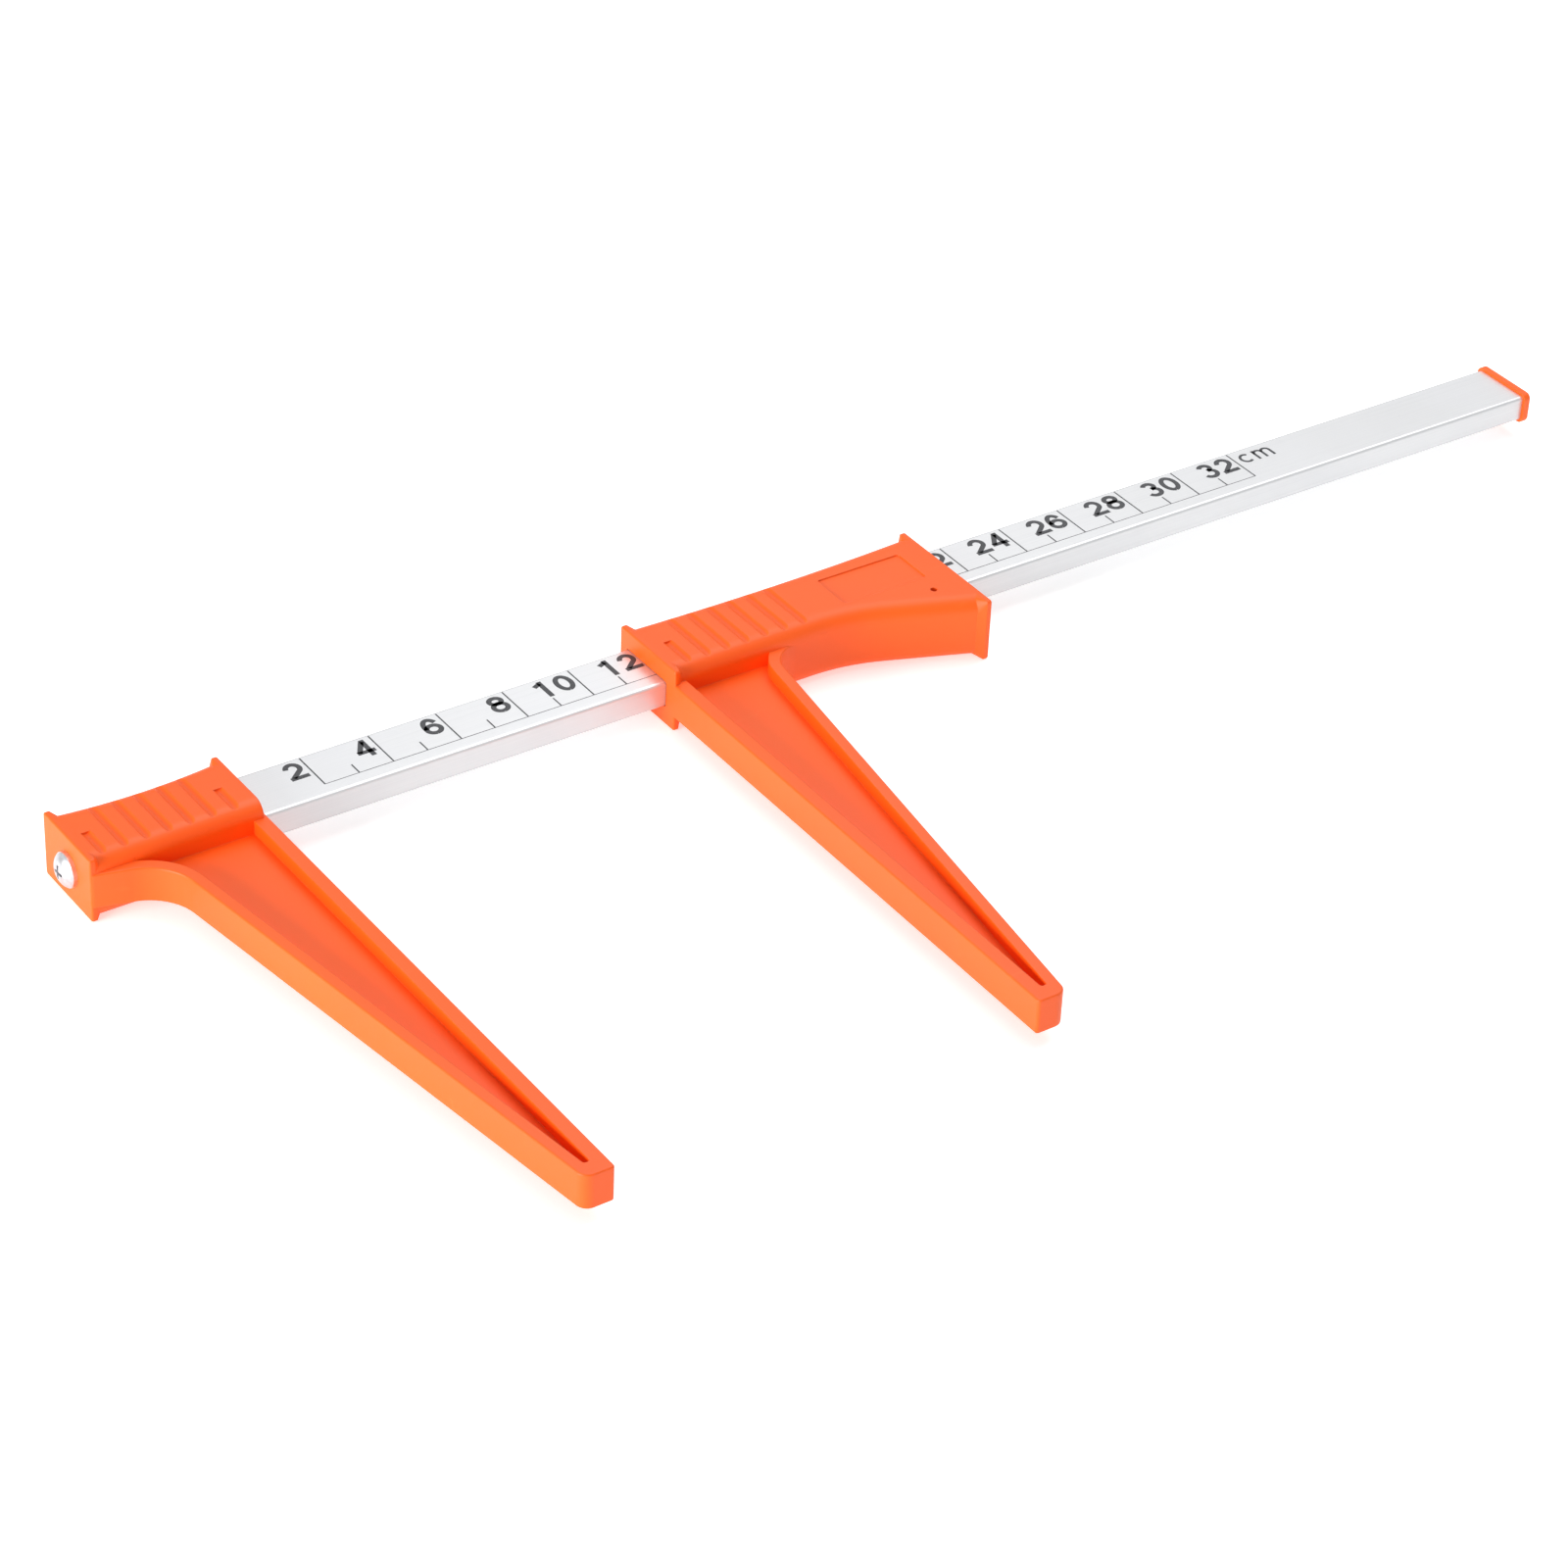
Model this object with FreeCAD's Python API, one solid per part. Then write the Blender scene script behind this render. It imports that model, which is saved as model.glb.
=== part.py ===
import FreeCAD, Part
import math
import os

# Log caliper. Lengths are millimetres. The design frame has X = 0 on the fixed measuring face,
# Y = 0 on the beam's centre line and Z = 0 at the beam's mid height. The arms reach towards -Y.

# Beam: an extruded aluminium profile with two chambers and a screw port between them
beam_width = 19.0
beam_height = 7.6
beam_length = 462.5
beam_corner = 1.0
beam_wall = 1.1
port_web = 5.8
port_radius = 2.15
chamber_corner = 0.5

# Scale and rest position of the sliding jaw
scale_end = 320.0
rest_reading = 119.2
closed_gap = 0.1

# Sleeves of both jaws
sleeve_height = 18.5
lip_thickness = 1.5
lip_collar = 1.8
collar_sink = 0.6
lip_corner = 0.8
lip_edge = 0.5
socket_clearance = 0.05
slide_clearance = 0.12
corner_relief = 0.2

# Arms of both jaws
arm_reach = 173.0
arm_thickness = 10.0
arm_tip_width = 8.4
arm_taper_deg = 8.0
face_wall = 4.0
outer_wall = 3.3
tip_wall = 4.6
web_thickness = 2.4
tip_outer_radius = 3.2
tip_face_radius = 0.9
arm_edge = 0.5
pocket_rim_edge = 0.4

# Fixed jaw
head_length = 48.4
head_setback = 1.0
head_end_wall = 3.0
head_far_waist = 11.1
head_far_radius = 156.0
head_far_lip = 13.2
head_near = 11.8
flare_slope_deg = 15.0
flare_radius = 14.0
corner_round = 1.2

# Sliding jaw
slider_length = 92.2
slider_far_waist = 11.3
slider_far_radius = 880.0
slider_waist_from_end = 38.3
slider_far_lip_face = 12.8
slider_far_lip_tail = 13.6
slider_near = 12.8
slider_near_lip = 13.7
push_start = 46.0
push_radius = 55.0
push_angle_deg = 21.5
push_lip = 27.4
root_radius = 9.0

# Grip grooves across the top of both sleeves
groove_count = 7
groove_pitch = 6.1
groove_radius = 1.7
groove_depth = 0.6
head_groove_start = 5.0
slider_groove_start = 6.4

# Shallow name field on top of the sliding jaw
field_length = 26.6
field_width = 13.2
field_depth = 0.4
field_corner = 0.8
field_to_tail = 8.3
field_far_edge = 4.8

# Friction spring and its pin inside the sliding jaw's tail
pin_radius = 0.95
pin_clearance = 0.03
pin_to_tail = 10.3
pin_offset = 14.8
pin_top_recess = 1.6
pin_bottom_recess = 0.6
spring_thickness = 0.5
spring_width = 6.0
spring_side_gap = 0.2
spring_beam_gap = 0.05
spring_crest_radius = 9.0
spring_crest_from_pin = 14.0
spring_tail_length = 12.0
spring_tail_slope_deg = 8.0
spring_eye_gap = 0.03
spring_pocket_wall = 0.3
eye_turn_deg = 300.0

# End cap
cap_overhang = 0.9
cap_thickness = 2.4
cap_edge = 0.7
plug_length = 12.0
plug_clearance = 0.05
plug_tip_draft = 0.4

# Pan head screw through the fixed jaw's end wall into the beam's screw port
screw_head_radius = 4.75
screw_head_height = 3.0
screw_head_rim = 1.1
screw_length = 18.0
screw_shank_clearance = 0.05
screw_hole_clearance = 0.45
recess_arm_length = 5.0
recess_arm_width = 1.1
recess_depth = 1.9

# Derived places
sleeve_top = sleeve_height / 2
arm_top = arm_thickness / 2
grip_radius = sleeve_top - arm_top
pocket_depth = (arm_thickness - web_thickness) / 2
head_right = -head_setback
head_left = head_right - head_length
beam_start = head_left + head_end_wall
beam_end = beam_start + beam_length
slider_left = rest_reading
slider_right = slider_left + slider_length
taper = math.tan(math.radians(arm_taper_deg))
tip_y = -arm_reach

UP = FreeCAD.Vector(0, 0, 1)
ALONG = FreeCAD.Vector(1, 0, 0)


def vec(x, y, z=0.0):
    return FreeCAD.Vector(x, y, z)


def meet(point_a, slope_a, point_b, slope_b):
    """Corner where two plan lines cross, each given by a point and a direction."""
    ax, ay = slope_a
    bx, by = slope_b
    cross = ax * by - ay * bx
    dx = point_b[0] - point_a[0]
    dy = point_b[1] - point_a[1]
    step = (dx * by - dy * bx) / cross
    return (point_a[0] + step * ax, point_a[1] + step * ay)


def shifted(point, direction, distance):
    """The point moved square to a plan direction, to its left when distance is positive."""
    length = math.hypot(direction[0], direction[1])
    return (point[0] - direction[1] / length * distance, point[1] + direction[0] / length * distance)


def rounded_wire(corners):
    """Closed plan wire through (x, y, radius) corners, with an arc in each corner."""
    count = len(corners)
    starts = []
    ends = []
    middles = []
    for i in range(count):
        x, y, radius = corners[i]
        here = vec(x, y)
        to_last = (vec(*corners[i - 1][:2]) - here).normalize()
        to_next = (vec(*corners[(i + 1) % count][:2]) - here).normalize()
        half = to_last.getAngle(to_next) / 2
        reach = radius / math.tan(half)
        bisector = (to_last + to_next).normalize()
        centre = here + bisector * (radius / math.sin(half))
        starts.append(here + to_last * reach)
        ends.append(here + to_next * reach)
        middles.append(centre - bisector * radius)
    edges = []
    for i in range(count):
        if corners[i][2] > 0:
            edges.append(Part.Arc(starts[i], middles[i], ends[i]).toShape())
        following = starts[(i + 1) % count]
        if (following - ends[i]).Length > 1e-6:
            edges.append(Part.LineSegment(ends[i], following).toShape())
    return Part.Wire(edges)


def pad(wire, z_low, z_high):
    """Solid between two heights over a plan wire drawn at height 0."""
    face = Part.Face(wire)
    face.translate(vec(0, 0, z_low))
    return face.extrude(vec(0, 0, z_high - z_low))


def section(x, y_near, y_far, half_height, near_radius, far_radius):
    """Rounded rectangle across the beam at one place along it."""
    wire = rounded_wire([
        (y_near, -half_height, near_radius),
        (y_far, -half_height, far_radius),
        (y_far, half_height, far_radius),
        (y_near, half_height, near_radius),
    ])
    wire.Placement = FreeCAD.Placement(FreeCAD.Matrix(0, 0, 1, x, 1, 0, 0, 0, 0, 1, 0, 0, 0, 0, 0, 1))
    return wire


def bar(x_low, x_high, y_near, y_far, half_height, near_radius, far_radius):
    """Straight bar of a rounded rectangular section, along the beam."""
    face = Part.Face(section(x_low, y_near, y_far, half_height, near_radius, far_radius))
    return face.extrude(ALONG * (x_high - x_low))


def edges_where(shape, test):
    return [edge for edge in shape.Edges if test(edge)]


def at_height(edge, height):
    box = edge.BoundBox
    return abs(box.ZMin - height) < 1e-4 and abs(box.ZMax - height) < 1e-4


def at_end(edge, x):
    box = edge.BoundBox
    return abs(box.XMin - x) < 1e-4 and abs(box.XMax - x) < 1e-4


def grip_body(wire, x_low, x_high):
    """Sleeve body over its plan outline, with the four long edges rounded for the hand."""
    solid = pad(wire, -sleeve_top, sleeve_top)
    long_edges = edges_where(
        solid,
        lambda e: (at_height(e, sleeve_top) or at_height(e, -sleeve_top))
        and not at_end(e, x_low) and not at_end(e, x_high),
    )
    return solid.makeFillet(grip_radius, long_edges)


def lip(x_face, inward, y_near, y_far, near_radius, body_near, body_far):
    """Square-cornered end lip, and the short collar behind it that sinks into the sleeve body."""
    x_back = x_face + inward * lip_thickness
    plate = bar(min(x_face, x_back), max(x_face, x_back), y_near, y_far, sleeve_top, near_radius, lip_corner)
    plate = plate.makeFillet(lip_edge, edges_where(plate, lambda e: at_end(e, x_face)))
    front = section(x_back, y_near, y_far, sleeve_top, near_radius, lip_corner)
    rear = section(x_back + inward * lip_collar, body_near + collar_sink, body_far - collar_sink,
                   sleeve_top - collar_sink, grip_radius, grip_radius)
    collar = Part.makeLoft([front, rear], True, True)
    return plate.fuse(collar)


def groove_cutters(first_x, short_last):
    """Shallow scallops across the top. The first one, and the last where asked, starts half way."""
    centre_height = sleeve_top - groove_depth + groove_radius
    cutters = []
    for i in range(groove_count):
        short = i == 0 or (short_last and i == groove_count - 1)
        far_end = 0.0 if short else beam_width
        start = vec(first_x + i * groove_pitch, far_end, centre_height)
        cutters.append(Part.makeCylinder(groove_radius, far_end + beam_width, start, vec(0, -1, 0)))
    return cutters


def arm_side_at(y, face_x, outward):
    """X of the arm's tapered outer side at a reach y."""
    return face_x + outward * (arm_tip_width + taper * (y + arm_reach))


def both_sides(wire):
    """The pockets of an arm, one from the top and one from the bottom, with the web between."""
    outside = arm_top + 1.0
    floor = arm_top - pocket_depth
    return [pad(wire, floor, outside), pad(wire, -outside, -floor)]


def soften_rims(arm):
    """Small rounds along the arm's upper and lower edges."""
    rims = edges_where(arm, lambda e: at_height(e, arm_top) or at_height(e, -arm_top))
    return arm.makeFillet(arm_edge, rims)


def fixed_arm():
    """Tapered arm of the fixed jaw, flaring along the head's near side to its outer end."""
    flare = math.radians(flare_slope_deg)
    flare_line = (math.cos(flare), -math.sin(flare))
    side_line = (taper, -1.0)
    corner = meet((head_left, -head_near), flare_line, (-arm_tip_width, tip_y), side_line)
    inside = -head_near + grip_radius
    outline = [
        (0.0, inside, 0.0),
        (head_left, inside, 0.0),
        (head_left, -head_near, corner_round),
        (corner[0], corner[1], flare_radius),
        (-arm_tip_width, tip_y, tip_outer_radius),
        (0.0, tip_y, tip_face_radius),
    ]
    arm = soften_rims(pad(rounded_wire(outline), -arm_top, arm_top))
    inner_flare = shifted((head_left, -head_near), flare_line, outer_wall)
    inner_side = shifted((-arm_tip_width, tip_y), side_line, outer_wall)
    inner_corner = meet(inner_flare, flare_line, inner_side, side_line)
    start = meet(inner_flare, flare_line, (0.0, -head_near), (1.0, 0.0))
    end = meet(inner_side, side_line, (0.0, tip_y + tip_wall), (1.0, 0.0))
    end_width = -face_wall - end[0]
    pocket = [
        (-face_wall, -head_near, 0.0),
        (start[0], -head_near, 0.0),
        (inner_corner[0], inner_corner[1], flare_radius + outer_wall),
        (end[0], end[1], end_width * 0.45),
        (-face_wall, end[1], end_width * 0.45),
    ]
    return arm, both_sides(rounded_wire(pocket))


def fixed_jaw():
    """Moulded jaw that takes the beam's end in a blind socket."""
    body_left = head_left + lip_thickness
    body_right = head_right - lip_thickness
    middle = (head_left + head_right) / 2
    half = (body_right - body_left) / 2
    far_end = head_far_waist + head_far_radius - math.sqrt(head_far_radius ** 2 - half ** 2)
    outline = Part.Wire([
        Part.LineSegment(vec(body_left, -head_near), vec(body_right, -head_near)).toShape(),
        Part.LineSegment(vec(body_right, -head_near), vec(body_right, far_end)).toShape(),
        Part.Arc(vec(body_right, far_end), vec(middle, head_far_waist), vec(body_left, far_end)).toShape(),
        Part.LineSegment(vec(body_left, far_end), vec(body_left, -head_near)).toShape(),
    ])
    body = grip_body(outline, body_left, body_right)
    left_lip = lip(head_left, 1, -head_near, head_far_lip, lip_corner, -head_near, far_end)
    right_lip = lip(head_right, -1, -head_near, head_far_lip, grip_radius, -head_near, far_end)
    arm, pockets = fixed_arm()
    solid = body.fuse([left_lip, right_lip, arm]).removeSplitter()
    for pocket in pockets:
        solid = solid.cut(pocket)
    half_width = beam_width / 2 + socket_clearance
    half_height = beam_height / 2 + socket_clearance
    corner = beam_corner - corner_relief
    socket = bar(beam_start, 1.0, -half_width, half_width, half_height, corner, corner)
    hole = Part.makeCylinder(port_radius + screw_hole_clearance, head_end_wall + 2.0,
                             vec(head_left - 1.0, 0, 0), ALONG)
    first_groove = head_left + head_groove_start
    return solid.cut([socket, hole] + groove_cutters(first_groove, True))


def sliding_arm():
    """Tapered arm of the sliding jaw, with a rounded root into the sleeve's near side."""
    side_line = (taper, 1.0)
    near_line = (1.0, 0.0)
    tip_outer = (slider_left + arm_tip_width, tip_y)
    corner = meet(tip_outer, side_line, (slider_left, -slider_near), near_line)
    inside = -slider_near + grip_radius
    run_out = corner[0] + 2.0 * root_radius
    outline = [
        (slider_left, inside, 0.0),
        (slider_left, tip_y, tip_face_radius),
        (tip_outer[0], tip_y, tip_outer_radius),
        (corner[0], corner[1], root_radius),
        (run_out, -slider_near, 0.0),
        (run_out, inside, 0.0),
    ]
    arm = soften_rims(pad(rounded_wire(outline), -arm_top, arm_top))
    inner_side = shifted(tip_outer, side_line, outer_wall)
    inner_root_line = (slider_left, -slider_near + outer_wall)
    inner_corner = meet(inner_side, side_line, inner_root_line, near_line)
    end = meet(inner_side, side_line, (0.0, tip_y + tip_wall), near_line)
    end_width = end[0] - slider_left - face_wall
    pocket = Part.Face(rounded_wire([
        (slider_left + face_wall, end[1], end_width * 0.45),
        (end[0], end[1], end_width * 0.45),
        (inner_corner[0], inner_corner[1], root_radius + outer_wall),
        (run_out, inner_corner[1], 0.0),
        (run_out, inner_corner[1] + 1.0, 0.0),
        (slider_left + face_wall, inner_corner[1] + 1.0, 0.0),
    ]))
    trim = Part.makePlane(slider_length, arm_reach, vec(slider_left, -slider_near - arm_reach, 0))
    pocket = pocket.common(trim)
    return arm, both_sides(pocket.Wires[0])


def push_outline():
    """Plan outline of the sliding sleeve: gently waisted far side, near side swept out to its tail."""
    x_low = slider_left + lip_thickness
    x_high = slider_right - lip_thickness
    waist = slider_left + slider_waist_from_end

    def far_at(x):
        rise = slider_far_radius - math.sqrt(slider_far_radius ** 2 - (x - waist) ** 2)
        return slider_far_waist + rise

    angle = math.radians(push_angle_deg)
    bend_start = slider_left + push_start
    centre_y = -slider_near - push_radius

    def on_bend(turn):
        return vec(bend_start + push_radius * math.sin(turn), centre_y + push_radius * math.cos(turn))

    bend_end = on_bend(angle)
    tail_near = bend_end.y - (x_high - bend_end.x) * math.tan(angle)
    wire = Part.Wire([
        Part.LineSegment(vec(x_low, -slider_near), vec(bend_start, -slider_near)).toShape(),
        Part.Arc(vec(bend_start, -slider_near), on_bend(angle / 2), bend_end).toShape(),
        Part.LineSegment(bend_end, vec(x_high, tail_near)).toShape(),
        Part.LineSegment(vec(x_high, tail_near), vec(x_high, far_at(x_high))).toShape(),
        Part.Arc(vec(x_high, far_at(x_high)), vec(waist, slider_far_waist), vec(x_low, far_at(x_low))).toShape(),
        Part.LineSegment(vec(x_low, far_at(x_low)), vec(x_low, -slider_near)).toShape(),
    ])
    return wire, x_low, x_high, far_at(x_low), far_at(x_high), tail_near


def on_circle(centre, radius, angle):
    return vec(centre.x + radius * math.cos(angle), centre.y + radius * math.sin(angle))


def spring_layout():
    """Plan places of the spring: pin, middle of the crest's bend, and start and end of the free tail."""
    pin = vec(slider_right - pin_to_tail, -pin_offset)
    crest_y = -beam_width / 2 - spring_beam_gap
    centre = vec(pin.x - spring_crest_from_pin, crest_y - spring_crest_radius)
    slope = math.radians(spring_tail_slope_deg)
    start = on_circle(centre, spring_crest_radius, math.pi / 2 + slope)
    end = start - vec(math.cos(slope), math.sin(slope)) * spring_tail_length
    return pin, centre, start, end


def spring_pocket():
    """Chamber beside the beam, in the swept-out tail, that holds the friction spring."""
    pin, centre, start, end = spring_layout()
    beam_side = -beam_width / 2 + 1.0
    room = pin_radius + spring_thickness + spring_pocket_wall
    behind = spring_thickness + spring_pocket_wall
    outline = [
        (end.x - 1.0, beam_side, 0.0),
        (end.x - 1.0, end.y - behind, 0.5),
        (centre.x, end.y - behind, 3.0),
        (pin.x - 2.4 * room, pin.y - room, 2.0),
        (pin.x + room, pin.y - room, 1.0),
        (pin.x + room, beam_side, 0.0),
    ]
    half = spring_width / 2 + spring_side_gap
    return pad(rounded_wire(outline), -half, half)


def friction_spring():
    """Leaf of strip steel: an eye round the pin, a crest on the beam's near side and a free tail."""
    pin, centre, tail_start, tail_end = spring_layout()
    eye = pin_radius + spring_eye_gap
    outer = eye + spring_thickness
    across = pin - centre
    touch = math.atan2(across.y, across.x) + math.acos((spring_crest_radius - outer) / across.Length)
    tail_angle = math.pi / 2 + math.radians(spring_tail_slope_deg)
    inner = spring_crest_radius - spring_thickness
    inward = (centre - tail_start).normalize() * spring_thickness
    eye_end = touch - math.radians(eye_turn_deg)

    def bend(origin, radius, first, last):
        middle = on_circle(origin, radius, (first + last) / 2)
        return Part.Arc(on_circle(origin, radius, first), middle, on_circle(origin, radius, last)).toShape()

    def strip(first, last):
        return Part.LineSegment(first, last).toShape()

    return pad(Part.Wire([
        strip(tail_end, tail_start),
        bend(centre, spring_crest_radius, tail_angle, touch),
        strip(on_circle(centre, spring_crest_radius, touch), on_circle(pin, outer, touch)),
        bend(pin, outer, touch, eye_end),
        strip(on_circle(pin, outer, eye_end), on_circle(pin, eye, eye_end)),
        bend(pin, eye, eye_end, touch),
        strip(on_circle(pin, eye, touch), on_circle(centre, inner, touch)),
        bend(centre, inner, touch, tail_angle),
        strip(tail_start + inward, tail_end + inward),
        strip(tail_end + inward, tail_end),
    ]), -spring_width / 2, spring_width / 2)


def spring_pin():
    """Steel pin pressed up through the tail, below the small round hole in the top."""
    low = -sleeve_top + pin_bottom_recess
    high = sleeve_top - pin_top_recess
    pin = Part.makeCylinder(pin_radius, high - low, vec(slider_right - pin_to_tail, -pin_offset, low), UP)
    return pin.makeChamfer(0.2, edges_where(pin, lambda e: at_height(e, low) or at_height(e, high)))


def name_field():
    """Shallow rectangular field sunk in the top, near the tail."""
    right = slider_right - field_to_tail
    left = right - field_length
    near = field_far_edge - field_width
    wire = rounded_wire([
        (left, near, field_corner),
        (right, near, field_corner),
        (right, field_far_edge, field_corner),
        (left, field_far_edge, field_corner),
    ])
    return pad(wire, sleeve_top - field_depth, sleeve_top + 1.0)


def sliding_jaw():
    """Moulded jaw whose sleeve runs on the beam."""
    outline, x_low, x_high, far_low, far_high, tail_near = push_outline()
    body = grip_body(outline, x_low, x_high)
    face_lip = lip(slider_left, 1, -slider_near_lip, slider_far_lip_face, lip_corner, -slider_near, far_low)
    tail_lip = lip(slider_right, -1, -push_lip, slider_far_lip_tail, lip_corner, tail_near, far_high)
    arm, pockets = sliding_arm()
    solid = body.fuse([face_lip, tail_lip, arm]).removeSplitter()
    for pocket in pockets:
        solid = solid.cut(pocket)
    half_width = beam_width / 2 + slide_clearance
    half_height = beam_height / 2 + slide_clearance
    corner = beam_corner - corner_relief
    bore = bar(slider_left - 1.0, slider_right + 1.0, -half_width, half_width, half_height, corner, corner)
    pin_hole = Part.makeCylinder(pin_radius + pin_clearance, sleeve_height + 2.0,
                                 vec(slider_right - pin_to_tail, -pin_offset, -sleeve_top - 1.0), UP)
    first_groove = slider_left + slider_groove_start
    cutters = [bore, spring_pocket(), pin_hole, name_field()] + groove_cutters(first_groove, False)
    return solid.cut(cutters)


def chamber_centre():
    """Distance of each chamber's middle from the beam's centre line, and its width."""
    inner = port_web / 2
    outer = beam_width / 2 - beam_wall
    return (inner + outer) / 2, outer - inner


def beam():
    """Extruded profile: rounded outside, two chambers and a round screw port."""
    half_height = beam_height / 2
    stock = bar(beam_start, beam_end, -beam_width / 2, beam_width / 2, half_height, beam_corner, beam_corner)
    centre, width = chamber_centre()
    cutters = [Part.makeCylinder(port_radius, beam_length + 2.0, vec(beam_start - 1.0, 0, 0), ALONG)]
    for side in (-1, 1):
        cutters.append(bar(beam_start - 1.0, beam_end + 1.0, side * centre - width / 2,
                           side * centre + width / 2, half_height - beam_wall, chamber_corner, chamber_corner))
    return stock.cut(cutters)


def end_cap():
    """Cap over the beam's free end, held by two plugs in the chambers."""
    half_width = beam_width / 2 + cap_overhang
    half_height = beam_height / 2 + cap_overhang
    corner = beam_corner + cap_overhang
    cap_end = beam_end + cap_thickness
    flange = bar(beam_end, cap_end, -half_width, half_width, half_height, corner, corner)
    flange = flange.makeFillet(cap_edge, edges_where(flange, lambda e: at_end(e, cap_end)))
    centre, width = chamber_centre()
    plug_half = width / 2 - plug_clearance
    plug_height = beam_height / 2 - beam_wall - plug_clearance
    plugs = []
    for side in (-1, 1):
        root = section(beam_end, side * centre - plug_half, side * centre + plug_half,
                       plug_height, chamber_corner, chamber_corner)
        tip = section(beam_end - plug_length, side * centre - plug_half + plug_tip_draft,
                      side * centre + plug_half - plug_tip_draft,
                      plug_height - plug_tip_draft, chamber_corner, chamber_corner)
        plugs.append(Part.makeLoft([tip, root], True, True))
    return flange.fuse(plugs).removeSplitter()


def fixed_jaw_screw():
    """Pan head screw with a cross recess, its head on the fixed jaw's end wall."""
    face_x = head_left
    crown = face_x - screw_head_height
    shoulder = face_x - screw_head_rim
    shank = port_radius - screw_shank_clearance
    dome_mid = vec(crown + (shoulder - crown) * 0.3, 0, screw_head_radius * 0.72)
    tip_x = face_x + screw_length
    profile = Part.Wire([
        Part.Arc(vec(crown, 0, 0), dome_mid, vec(shoulder, 0, screw_head_radius)).toShape(),
        Part.LineSegment(vec(shoulder, 0, screw_head_radius), vec(face_x, 0, screw_head_radius)).toShape(),
        Part.LineSegment(vec(face_x, 0, screw_head_radius), vec(face_x, 0, shank)).toShape(),
        Part.LineSegment(vec(face_x, 0, shank), vec(tip_x - shank, 0, shank)).toShape(),
        Part.LineSegment(vec(tip_x - shank, 0, shank), vec(tip_x, 0, 0)).toShape(),
        Part.LineSegment(vec(tip_x, 0, 0), vec(crown, 0, 0)).toShape(),
    ])
    screw = Part.Face(profile).revolve(vec(0, 0, 0), ALONG, 360)
    recess = []
    for across, tall in ((recess_arm_length, recess_arm_width), (recess_arm_width, recess_arm_length)):
        mouth = section(crown - 1.0, -across / 2, across / 2, tall / 2, 0.0, 0.0)
        floor = section(crown + recess_depth, -across / 4, across / 4, tall / 4, 0.0, 0.0)
        recess.append(Part.makeLoft([mouth, floor], True, True))
    return screw.cut(recess)


def placed(shape):
    """The shape moved so that the origin is the middle of the caliper's base."""
    x_low = head_left - screw_head_height
    x_high = beam_end + cap_thickness
    y_high = max(head_far_lip, slider_far_lip_tail)
    moved = shape.copy()
    moved.translate(vec(-(x_low + x_high) / 2, -(tip_y + y_high) / 2, sleeve_top))
    return moved


def main():
    pieces = {
        "beam": beam(),
        "fixed_jaw": fixed_jaw(),
        "fixed_jaw_screw": fixed_jaw_screw(),
        "sliding_jaw": sliding_jaw(),
        "friction_spring": friction_spring(),
        "spring_pin": spring_pin(),
        "end_cap": end_cap(),
    }
    os.makedirs("parts", exist_ok=True)
    for name, shape in pieces.items():
        solid = placed(shape)
        solid.exportStep(os.path.join("parts", name + ".step"))
        box = solid.optimalBoundingBox()
        print(name, "solids", len(solid.Solids), "valid", solid.isValid(), "volume", round(solid.Volume, 1),
              "box", [round(v, 2) for v in (box.XMin, box.YMin, box.ZMin, box.XMax, box.YMax, box.ZMax)])


main()
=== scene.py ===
import math

import bmesh
import bpy
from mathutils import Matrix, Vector


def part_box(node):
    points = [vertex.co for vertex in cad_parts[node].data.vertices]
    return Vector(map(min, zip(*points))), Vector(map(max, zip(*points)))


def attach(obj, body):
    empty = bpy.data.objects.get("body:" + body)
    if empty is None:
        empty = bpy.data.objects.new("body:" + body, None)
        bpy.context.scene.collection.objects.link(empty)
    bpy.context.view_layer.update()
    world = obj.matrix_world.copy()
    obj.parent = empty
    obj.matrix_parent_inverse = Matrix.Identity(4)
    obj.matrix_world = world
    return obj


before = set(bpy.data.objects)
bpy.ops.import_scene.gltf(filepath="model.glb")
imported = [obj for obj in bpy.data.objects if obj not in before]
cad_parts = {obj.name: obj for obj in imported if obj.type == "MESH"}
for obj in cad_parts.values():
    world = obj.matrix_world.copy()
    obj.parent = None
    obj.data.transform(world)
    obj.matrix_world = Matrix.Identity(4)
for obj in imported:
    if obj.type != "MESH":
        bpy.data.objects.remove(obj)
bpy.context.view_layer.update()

MM = 0.001
ROOT = "beam_and_fixed_jaw"
SLIDER = "slider"

# Camera, fitted to the printed scale and the object's corners, for a square picture
CAMERA_PLACE = (-0.64513, -0.79835, 0.69476)
CAMERA_TURN_DEG = (55.693, -2.188, -34.055)
CAMERA_LENS = 109.68
CAMERA_SENSOR = 36.0

# Printed scale, in millimetres: x from the fixed jaw's measuring face, y from the beam's centre line
SCALE_FIRST = 20
SCALE_LAST = 320
SCALE_STEP = 10
BASELINE_Y = -4.9
LONG_LINE_TOP = 8.4
SHORT_LINE_TOP = -0.7
LINE_WIDTH = 0.42
BASELINE_WIDTH = 0.22
INK_THICKNESS = 0.012
LABEL_BASE = 0.1
LABEL_HEIGHT = 7.6
LABEL_GAP = 1.15
DIGIT_WIDTH = 5.3
DIGIT_PITCH = 6.2
STROKE = 1.45
UNIT_LEFT = 321.9
UNIT_BASE = 1.9
UNIT_HEIGHT = 4.6
UNIT_STROKE = 0.85
TURN_STEP_DEG = 12

# Lamps: strength in watts, size and place in metres
LAMPS = {
    "left_softbox": (30.0, 0.8, (-1.5, -0.12, 0.24)),
    "top_softbox": (14.5, 1.3, (0.5, 0.35, 1.35)),
}
SKY_FILL = 0.34
SKY_SHINE = 0.85
TABLE_GLOW = 0.5
FLOOR_HALF = 6.0

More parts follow.
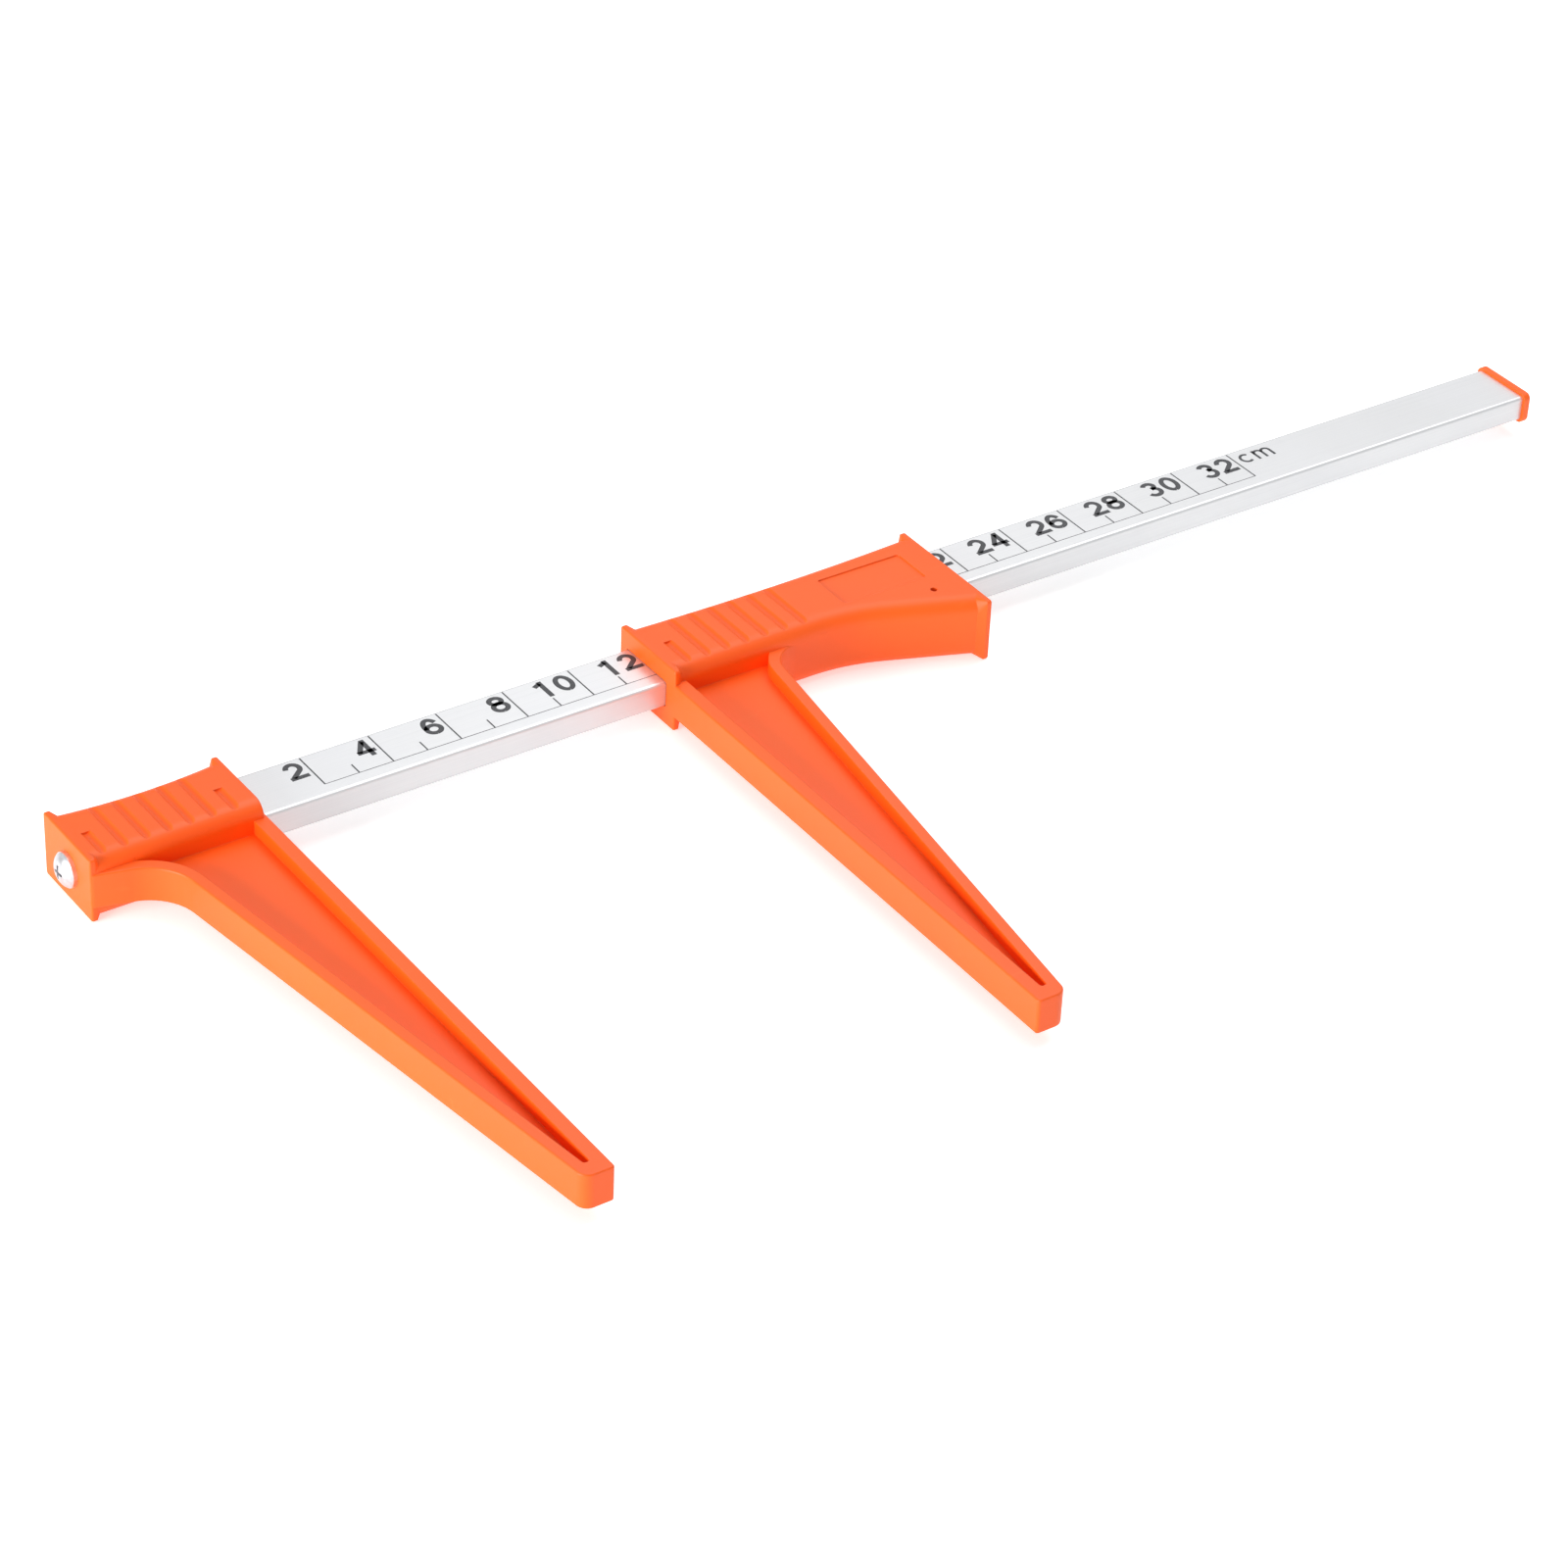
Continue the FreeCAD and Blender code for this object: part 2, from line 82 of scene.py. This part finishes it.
# Linear colours: the moulded plastics' plain surface, darker clouds, and a lighter colour for scuffs and
# for the edges, where it is partly rubbed wear and partly a painted highlight; and the metals
ORANGE = ((1.0, 0.122, 0.003), (0.97, 0.108, 0.002), (1.0, 0.26, 0.05))
CAP_ORANGE = ((1.0, 0.14, 0.006), (0.97, 0.12, 0.005), (1.0, 0.30, 0.07))
ALUMINIUM_CLOUDS = ((0.665, 0.67, 0.68), (0.635, 0.64, 0.655))
ALUMINIUM_DIE_LINE = (0.57, 0.575, 0.59)
# Lighter aluminium for the rub marks, which are wear, and for the painted highlight along the beam's edges
ALUMINIUM_RUB_AND_EDGE_HIGHLIGHT = (0.76, 0.765, 0.77)
SCREW_GREY = (0.70, 0.71, 0.73)
SPRING_GREY = (0.42, 0.43, 0.45)
INK_GREYS = ((0.075, 0.077, 0.085), (0.032, 0.033, 0.038))
WORN_INK = (0.30, 0.305, 0.32)
FLOOR_GREYS = ((0.89, 0.89, 0.89), (0.91, 0.91, 0.91))
WHITE = (1.0, 1.0, 1.0)

# Radii in millimetres over which the shading rounds an edge, and the steels' roughness
PLASTIC_EDGE = 0.35
PROFILE_EDGE = 0.25
STEEL_EDGE = 0.15
SCREW_ROUGHNESS = 0.26
SPRING_ROUGHNESS = 0.34


class Wire:
    """A socket of a material's tree. Arithmetic on a number adds Math nodes, and colours go through mix."""

    def __init__(self, paint, socket):
        self.paint = paint
        self.socket = socket

    def _join(self, operation, first, second):
        return self.paint.node("ShaderNodeMath", {"operation": operation}, {0: first, 1: second})

    def __add__(self, other):
        return self._join("ADD", self, other)

    def __radd__(self, other):
        return self._join("ADD", other, self)

    def __sub__(self, other):
        return self._join("SUBTRACT", self, other)

    def __rsub__(self, other):
        return self._join("SUBTRACT", other, self)

    def __mul__(self, other):
        return self._join("MULTIPLY", self, other)

    def __rmul__(self, other):
        return self._join("MULTIPLY", other, self)

    def between(self, low, high):
        """0 below low, 1 above high, and a smooth step from one to the other."""
        inputs = {"Value": self, "From Min": low, "From Max": high}
        return self.paint.node("ShaderNodeMapRange", {"interpolation_type": "SMOOTHSTEP"}, inputs)

    def mix(self, colour_at_0, colour_at_1):
        """Colour between two others, with this wire as the factor."""
        settings = {"data_type": "RGBA"}
        inputs = {0: self, 6: colour_at_0, 7: colour_at_1}
        return self.paint.node("ShaderNodeMix", settings, inputs, output=2)


class Paint:
    """A material and the nodes that make it."""

    def __init__(self, name):
        self.material = bpy.data.materials.new(name)
        self.material.use_nodes = True
        self.tree = self.material.node_tree
        self.tree.nodes.clear()

    def node(self, kind, settings=None, inputs=None, output=0):
        """Adds a node of any type: its settings first, then the values or links of its sockets."""
        made = self.tree.nodes.new(kind)
        for key, value in (settings or {}).items():
            setattr(made, key, value)
        for key, value in (inputs or {}).items():
            if isinstance(value, Wire):
                self.tree.links.new(value.socket, made.inputs[key])
            else:
                self._constant(made.inputs[key], value)
        return Wire(self, made.outputs[output]) if made.outputs else None

    def _constant(self, socket, value):
        if socket.type == "RGBA" and len(value) == 3:
            value = (*value, 1.0)
        socket.default_value = value

    def place(self, stretch=(1.0, 1.0, 1.0)):
        """Place on the piece in metres, stretched along its axes."""
        where = self.node("ShaderNodeTexCoord", output=3)
        return self.node("ShaderNodeMapping", None, {"Vector": where, "Scale": stretch})

    def noise(self, scale, detail=2.0, roughness=0.5, stretch=(1.0, 1.0, 1.0)):
        inputs = {"Vector": self.place(stretch), "Scale": scale, "Detail": detail, "Roughness": roughness}
        return self.node("ShaderNodeTexNoise", None, inputs)

    def bump(self, height, depth, normal=None):
        inputs = {"Height": height, "Distance": depth, "Strength": 1.0}
        if normal:
            inputs["Normal"] = normal
        return self.node("ShaderNodeBump", None, inputs)

    def edge(self, radius):
        """Normal rounded over the edges within radius, and a mask that is 1 on those edges."""
        rounded = self.node("ShaderNodeBevel", {"samples": 6}, {"Radius": radius})
        flat = self.node("ShaderNodeNewGeometry", output=1)
        normals = {0: rounded, 1: flat}
        same = self.node("ShaderNodeVectorMath", {"operation": "DOT_PRODUCT"}, normals, output=1)
        return rounded, 1.0 - same

    def finish(self, inputs):
        """The principled shader and the material's output."""
        shader = self.node("ShaderNodeBsdfPrincipled", None, inputs)
        self.node("ShaderNodeOutputMaterial", None, {"Surface": shader})
        return self.material


def moulded_plastic(name, colour, dark, light):
    """Injection-moulded plastic: spark-eroded grain, faint flow clouds, edges painted lighter as rubbed
    wear and as a painted highlight, and small scuffs.
    """
    paint = Paint(name)
    clouds = paint.noise(14.0, 3.0, 0.55).between(0.35, 0.68)
    flow = paint.noise(55.0, 2.0, 0.5, (1.0, 0.25, 1.0)).between(0.3, 0.75)
    grain = paint.noise(2600.0, 2.0, 0.6)
    pores = paint.noise(900.0, 1.0, 0.5)
    scuffs = paint.noise(240.0, 4.0, 0.7, (0.16, 1.0, 1.0)).between(0.62, 0.74)
    rounded, edge = paint.edge(PLASTIC_EDGE * MM)
    # Edges painted lighter: partly rubbed wear, partly a painted highlight along every edge
    rubbed_and_edge_highlight = edge.between(0.02, 0.3) * paint.noise(420.0, 3.0, 0.6).between(0.3, 0.6)
    body = (clouds * 0.55 + flow * 0.45).mix(dark, colour)
    edge_worn_and_highlit = (rubbed_and_edge_highlight * 0.3).mix(body, light)
    scuffed = (scuffs * 0.07).mix(edge_worn_and_highlit, light)
    height = grain * 0.55 + pores * 0.3 - scuffs * 0.35
    return paint.finish({
        "Base Color": scuffed,
        "Roughness": 0.40 + grain * 0.10 + clouds * 0.05 - rubbed_and_edge_highlight * 0.08,
        "Normal": paint.bump(height, 0.022 * MM, rounded),
        "Specular IOR Level": 0.5,
        "IOR": 1.46,
    })


def anodised_aluminium(name):
    """Clear satin anodising over an extruded profile: die lines along it, a few fine rub marks, and edges
    painted lighter as a painted highlight.
    """
    paint = Paint(name)
    die_lines = paint.noise(1.0, 3.0, 0.7, (6.0, 2600.0, 2600.0))
    fine_lines = paint.noise(1.0, 2.0, 0.6, (25.0, 9000.0, 9000.0))
    clouds = paint.noise(26.0, 3.0, 0.6).between(0.3, 0.75)
    etch = paint.noise(3800.0, 2.0, 0.6)
    rubs = paint.noise(1.0, 3.0, 0.75, (30.0, 1500.0, 1500.0)).between(0.66, 0.74)
    rounded, edge = paint.edge(PROFILE_EDGE * MM)
    plain = clouds.mix(*ALUMINIUM_CLOUDS)
    lined = (die_lines.between(0.35, 0.7) * 0.35).mix(plain, ALUMINIUM_DIE_LINE)
    # Lighter on the rub marks, which are wear, and along the edges, which is a painted highlight
    bright = (rubs * 0.35 + edge.between(0.05, 0.5) * 0.4).mix(lined, ALUMINIUM_RUB_AND_EDGE_HIGHLIGHT)
    height = die_lines * 0.5 + fine_lines * 0.3 + etch * 0.35
    return paint.finish({
        "Base Color": bright,
        "Metallic": 0.72 + clouds * 0.05,
        "Roughness": 0.34 + etch * 0.08 + clouds * 0.05 - rubs * 0.10,
        "Normal": paint.bump(height, 0.012 * MM, rounded),
    })


def plated_steel(name, colour, roughness):
    """Zinc-plated or plain hard steel with turning marks, a slightly patchy shine, and edges painted
    lighter as a painted highlight.
    """
    paint = Paint(name)
    patches = paint.noise(700.0, 3.0, 0.6).between(0.3, 0.7)
    marks = paint.noise(5200.0, 2.0, 0.6)
    rounded, edge = paint.edge(STEEL_EDGE * MM)
    dull = tuple(c * 0.82 for c in colour)
    bright = tuple(min(1.0, c * 1.12) for c in colour)
    body = patches.mix(dull, colour)
    return paint.finish({
        # Edges painted lighter: a painted highlight along the edges
        "Base Color": edge.between(0.05, 0.5).mix(body, bright),
        "Metallic": 1.0,
        "Roughness": roughness + patches * 0.08 + marks * 0.06,
        "Normal": paint.bump(marks, 0.006 * MM, rounded),
    })


def scale_ink(name):
    """Matt dark grey ink, a little thin in places so that the metal shows through."""
    paint = Paint(name)
    coverage = paint.noise(2400.0, 3.0, 0.7).between(0.25, 0.6)
    wear = paint.noise(180.0, 4.0, 0.65, (0.4, 1.0, 1.0)).between(0.66, 0.8)
    ink = coverage.mix(*INK_GREYS)
    return paint.finish({
        "Base Color": (wear * 0.4).mix(ink, WORN_INK),
        "Roughness": 0.62 - coverage * 0.08,
        "Normal": paint.bump(coverage, 0.006 * MM),
    })


def pale_floor(name):
    """White light table: it glows a little from below, so that the shadow on it stays faint."""
    paint = Paint(name)
    dust = paint.noise(9.0, 2.0, 0.5)
    board = paint.node("ShaderNodeBsdfDiffuse", None, {"Color": dust.mix(*FLOOR_GREYS)})
    glow = paint.node("ShaderNodeEmission", None, {"Color": WHITE, "Strength": TABLE_GLOW})
    both = paint.node("ShaderNodeAddShader", None, {0: board, 1: glow})
    paint.node("ShaderNodeOutputMaterial", None, {"Surface": both})
    return paint.material


def new_object(name, mesh, material, body):
    """Links a finished mesh to the scene with its material and body."""
    made = bpy.data.objects.new(name, mesh)
    bpy.context.scene.collection.objects.link(made)
    made.data.materials.append(material)
    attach(made, body)
    return made


def add_slab(bm, x_low, x_high, y_low, y_high, z_low, z_high):
    """Thin flat-sided patch of print."""
    corners = [(x_low, y_low), (x_high, y_low), (x_high, y_high), (x_low, y_high)]
    under = [bm.verts.new((x, y, z_low)) for x, y in corners]
    over = [bm.verts.new((x, y, z_high)) for x, y in corners]
    bm.faces.new(over)
    bm.faces.new(under[::-1])
    for i in range(4):
        j = (i + 1) % 4
        bm.faces.new((under[i], under[j], over[j], over[i]))


class Scale:
    """Places on the printed face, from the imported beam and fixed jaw."""

    def __init__(self):
        low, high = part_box("beam")
        self.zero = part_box("fixed_jaw")[1].x
        self.middle = (low.y + high.y) / 2
        self.face = high.z

    def x(self, reading):
        return self.zero + reading * MM

    def y(self, across):
        return self.middle + across * MM

    def ink_heights(self):
        return self.face - INK_THICKNESS * MM, self.face + INK_THICKNESS * MM


def scale_lines(scale, ink):
    """Baseline, a long line at each even centimetre and a short one at each odd centimetre."""
    bm = bmesh.new()
    z_low, z_high = scale.ink_heights()
    half_line = LINE_WIDTH / 2
    half_base = BASELINE_WIDTH / 2
    readings = range(SCALE_FIRST, SCALE_LAST + 1, SCALE_STEP)
    for reading in readings:
        top = LONG_LINE_TOP if reading % (2 * SCALE_STEP) == 0 else SHORT_LINE_TOP
        add_slab(bm, scale.x(reading - half_line), scale.x(reading + half_line),
                 scale.y(BASELINE_Y - half_base), scale.y(top), z_low, z_high)
    for start in readings[:-1]:
        add_slab(bm, scale.x(start + half_line), scale.x(start + SCALE_STEP - half_line),
                 scale.y(BASELINE_Y - half_base), scale.y(BASELINE_Y + half_base), z_low, z_high)
    mesh = bpy.data.meshes.new("scale_lines")
    bm.to_mesh(mesh)
    bm.free()
    return new_object("scale_lines", mesh, ink, ROOT)


def turn(x, y, across, up, first, last):
    """Centre line of an elliptical stroke, from one angle to another in degrees."""
    count = max(3, round(abs(last - first) / TURN_STEP_DEG))
    angles = [math.radians(first + (last - first) * i / count) for i in range(count + 1)]
    return [(x + across * math.cos(a), y + up * math.sin(a)) for a in angles]


def add_stroke(bm, points, half_width, z_low, z_high):
    """Band of ink of even width along a centre line, with square ends."""
    sides = []
    for i, (x, y) in enumerate(points):
        before = Vector(points[max(i - 1, 0)])
        after = Vector(points[min(i + 1, len(points) - 1)])
        square = (after - before).normalized().orthogonal() * half_width
        sides.append([(x + square.x, y + square.y), (x - square.x, y - square.y)])
    over = [[bm.verts.new((px, py, z_high)) for px, py in pair] for pair in sides]
    under = [[bm.verts.new((px, py, z_low)) for px, py in pair] for pair in sides]
    for (a, b), (c, d), (e, f), (g, h) in zip(over, over[1:], under, under[1:]):
        bm.faces.new((a, b, d, c))
        bm.faces.new((a, c, g, e))
        bm.faces.new((b, f, h, d))
    for top, low in ((over[0], under[0]), (over[-1][::-1], under[-1][::-1])):
        bm.faces.new((top[0], low[0], low[1], top[1]))


def figure_strokes(digit):
    """Centre lines of a plain figure, in millimetres from its lower left corner."""
    middle = DIGIT_WIDTH / 2
    half = STROKE / 2
    wide = middle - half
    top = LABEL_HEIGHT - half
    waist = LABEL_HEIGHT * 0.53
    bowl = (waist - half) / 2 + 0.1
    cap = (top - waist) / 2
    foot = turn(middle, half + bowl, wide, bowl, -90, 270)
    if digit == "0":
        return [turn(middle, LABEL_HEIGHT / 2, wide, top - LABEL_HEIGHT / 2, -90, 270)]
    if digit == "1":
        return [[(3.1, 0.0), (3.1, LABEL_HEIGHT)], [(0.9, 5.7), (3.1, 6.7)]]
    if digit == "2":
        hook = turn(middle, top - 1.95, wide - 0.1, 1.95, 172, -38)
        return [hook + [(half + 0.25, half + 0.35)], [(0.0, half), (DIGIT_WIDTH, half)]]
    if digit == "3":
        upper = turn(middle - 0.1, waist + cap, wide - 0.3, cap, 160, -90)
        lower = turn(middle, half + bowl, wide, bowl, 90, -162)
        return [upper, lower]
    if digit == "4":
        stem = [(3.75, 0.0), (3.75, LABEL_HEIGHT)]
        return [stem, [(3.55, top), (half, 2.3)], [(0.1, 2.3), (DIGIT_WIDTH, 2.3)]]
    if digit == "6":
        return [foot, turn(middle, 3.5, wide, top - 3.5, 30, 192)]
    return [foot, turn(middle, waist + cap, wide - 0.25, cap, -90, 270)]


def unit_strokes():
    """Centre lines of the letters c and m, in millimetres from their lower left corner."""
    rise = UNIT_HEIGHT / 2 - UNIT_STROKE / 2
    middle = UNIT_HEIGHT / 2
    letter_c = turn(2.1, middle, 1.75, rise, 48, 312)
    stem = 5.6
    arch = 1.3
    shoulder = UNIT_HEIGHT - UNIT_STROKE / 2 - arch
    strokes = [letter_c, [(stem, 0.0), (stem, UNIT_HEIGHT)]]
    for start in (stem, stem + 2 * arch):
        strokes.append(turn(start + arch, shoulder, arch, arch, 180, 0) + [(start + 2 * arch, 0.0)])
    return strokes


def scale_numbers(scale, ink):
    """A plain number left of each even centimetre line, and the unit after the last."""
    bm = bmesh.new()
    z_low, z_high = scale.ink_heights()

    def write(strokes, x, y, width):
        for points in strokes:
            placed = [(scale.x(x + px), scale.y(y + py)) for px, py in points]
            add_stroke(bm, placed, width / 2 * MM, z_low, z_high)

    for reading in range(SCALE_FIRST, SCALE_LAST + 1, 2 * SCALE_STEP):
        digits = str(reading // SCALE_STEP)
        left = reading - LABEL_GAP - DIGIT_WIDTH - DIGIT_PITCH * (len(digits) - 1)
        for i, digit in enumerate(digits):
            write(figure_strokes(digit), left + i * DIGIT_PITCH, LABEL_BASE, STROKE)
    write(unit_strokes(), UNIT_LEFT, UNIT_BASE, UNIT_STROKE)
    mesh = bpy.data.meshes.new("scale_numbers")
    bm.to_mesh(mesh)
    bm.free()
    return new_object("scale_numbers", mesh, ink, ROOT)


def paint_nodes(finishes):
    """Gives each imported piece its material."""
    for name, material in finishes.items():
        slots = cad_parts[name].material_slots
        for slot in slots:
            slot.material = material


def studio_floor():
    """Large pale floor under the caliper."""
    half = FLOOR_HALF
    mesh = bpy.data.meshes.new("studio_floor")
    corners = [(-half, -half, 0.0), (half, -half, 0.0), (half, half, 0.0), (-half, half, 0.0)]
    mesh.from_pydata(corners, [], [(0, 1, 2, 3)])
    floor = bpy.data.objects.new("studio_floor", mesh)
    bpy.context.scene.collection.objects.link(floor)
    floor.data.materials.append(pale_floor("pale_floor"))


def soft_lamps():
    """Large soft lamps, each aimed at the middle of the caliper."""
    for name, (power, size, place) in LAMPS.items():
        light = bpy.data.lights.new(name, "AREA")
        light.energy = power
        light.size = size
        lamp = bpy.data.objects.new(name, light)
        bpy.context.scene.collection.objects.link(lamp)
        lamp.location = place
        lamp.rotation_euler = (-Vector(place)).to_track_quat("-Z", "Y").to_euler()


def studio_world():
    """Soft fill light, a little brighter in reflections, and plain white to the camera."""
    world = bpy.data.worlds.new("studio")
    bpy.context.scene.world = world
    world.use_nodes = True
    tree = world.node_tree
    tree.nodes.clear()
    path = tree.nodes.new("ShaderNodeLightPath")
    shine = tree.nodes.new("ShaderNodeMapRange")
    shine.inputs["To Min"].default_value = SKY_FILL
    shine.inputs["To Max"].default_value = SKY_SHINE
    tree.links.new(path.outputs["Is Glossy Ray"], shine.inputs["Value"])
    strength = tree.nodes.new("ShaderNodeMapRange")
    strength.inputs["To Max"].default_value = 1.0
    tree.links.new(path.outputs["Is Camera Ray"], strength.inputs["Value"])
    tree.links.new(shine.outputs["Result"], strength.inputs["To Min"])
    glow = tree.nodes.new("ShaderNodeBackground")
    glow.inputs["Color"].default_value = (*WHITE, 1.0)
    tree.links.new(strength.outputs["Result"], glow.inputs["Strength"])
    out = tree.nodes.new("ShaderNodeOutputWorld")
    tree.links.new(glow.outputs[0], out.inputs["Surface"])


def photo_camera():
    """Camera at the photograph's place, angle and lens."""
    lens = bpy.data.cameras.new("photo_camera")
    lens.lens = CAMERA_LENS
    lens.sensor_width = CAMERA_SENSOR
    lens.sensor_fit = "HORIZONTAL"
    lens.clip_start = 0.01
    lens.clip_end = 50.0
    camera = bpy.data.objects.new("photo_camera", lens)
    bpy.context.scene.collection.objects.link(camera)
    camera.location = CAMERA_PLACE
    camera.rotation_euler = [math.radians(a) for a in CAMERA_TURN_DEG]
    bpy.context.scene.camera = camera


orange = moulded_plastic("orange_plastic", *ORANGE)
cap_orange = moulded_plastic("cap_plastic", *CAP_ORANGE)
aluminium = anodised_aluminium("beam_aluminium")
screw_steel = plated_steel("screw_steel", SCREW_GREY, SCREW_ROUGHNESS)
spring_steel = plated_steel("spring_steel", SPRING_GREY, SPRING_ROUGHNESS)
ink = scale_ink("scale_ink")

paint_nodes({
    "beam": aluminium,
    "fixed_jaw": orange,
    "sliding_jaw": orange,
    "end_cap": cap_orange,
    "fixed_jaw_screw": screw_steel,
    "friction_spring": spring_steel,
    "spring_pin": spring_steel,
})
scale = Scale()
scale_lines(scale, ink)
scale_numbers(scale, ink)
studio_floor()
soft_lamps()
studio_world()
photo_camera()
bpy.context.scene.view_settings.view_transform = "Standard"
